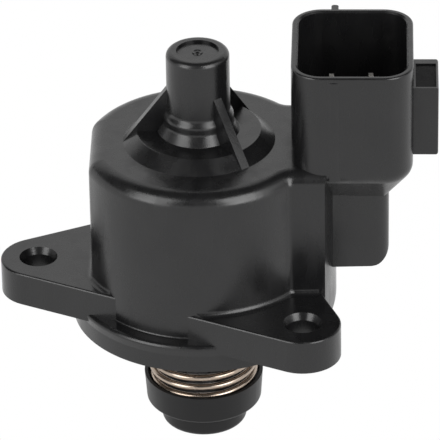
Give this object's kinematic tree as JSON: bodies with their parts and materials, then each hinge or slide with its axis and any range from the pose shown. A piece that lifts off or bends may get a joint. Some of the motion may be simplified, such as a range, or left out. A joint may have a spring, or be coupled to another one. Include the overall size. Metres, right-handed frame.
{
  "type": "idle air control valve",
  "caption": "Stepper-motor air valve for an engine intake: round moulded body with bolt ears, upright plug socket, and a sprung plunger below the mounting disc.",
  "frame": {"origin": "on the valve axis, at the underside of the round locating disc", "axes": "+Z along the valve axis from the plunger to the rear boss; +X parallel to the line through the two bolt holes, towards the hole on the connector's side"},
  "size_m": [0.0691, 0.0479, 0.0723],
  "materials": {
    "housing_plastic": "satin black glass-filled moulding",
    "cover_plastic": "satin black moulding",
    "seal_rubber": "smooth black rubber",
    "spring_steel": "drawn spring wire",
    "terminal_metal": "tinned strip",
    "pole_steel": "pressed and plated sheet",
    "bobbin_plastic": "natural moulding",
    "winding_copper": "enamelled wire",
    "magnet_ferrite": "sintered and ground",
    "rotor_plastic": "moulded",
    "nut_bronze": "turned bronze",
    "bearing_steel": "ground and polished",
    "cage_steel": "pressed strip",
    "spindle_steel": "turned bar",
    "plunger_plastic": "satin black moulding"
  },
  "bodies": {
    "valve_body": {"housing": "housing_plastic", "guide_cover": "cover_plastic", "mounting_seal": "seal_rubber", "plunger_spring": "spring_steel", "terminal_1": "terminal_metal", "terminal_2": "terminal_metal", "terminal_3": "terminal_metal", "terminal_4": "terminal_metal", "terminal_5": "terminal_metal", "terminal_6": "terminal_metal", "lower_pole_cup": "pole_steel", "lower_pole_plate": "pole_steel", "lower_bobbin": "bobbin_plastic", "lower_winding": "winding_copper", "upper_pole_cup": "pole_steel", "upper_pole_plate": "pole_steel", "upper_bobbin": "bobbin_plastic", "upper_winding": "winding_copper", "bearing_outer_race": "bearing_steel", "upper_bush": "nut_bronze", "preload_washer": "cage_steel"},
    "rotor": {"rotor_magnet": "magnet_ferrite", "rotor_sleeve": "rotor_plastic", "drive_nut": "nut_bronze", "bearing_inner_race": "bearing_steel"},
    "ball_set": {"bearing_balls": "bearing_steel", "bearing_cage": "cage_steel"},
    "plunger": {"spindle": "spindle_steel", "valve_plunger": "plunger_plastic", "plunger_clip": "cage_steel"}
  },
  "joints": [
    {"name": "rotor_spin", "type": "hinge", "parent": "valve_body", "child": "rotor", "pos_m": [0, 0, 0.01775], "axis": [0, 0, -1], "range_deg": [0, 1800]},
    {"name": "ball_orbit", "type": "hinge", "parent": "valve_body", "child": "ball_set", "pos_m": [0, 0, 0.004], "axis": [0, 0, -1], "range_deg": [0, 900]},
    {"name": "plunger_slide", "type": "slide", "parent": "valve_body", "child": "plunger", "axis": [0, 0, 1], "range_m": [0, 0.005], "deforming": ["plunger_spring"]}
  ],
  "couplings": [
    {"joint": "ball_orbit", "follows": "rotor_spin", "ratio": 0.429},
    {"joint": "plunger_slide", "follows": "rotor_spin", "m_per_rad": 0.00015915}
  ]
}
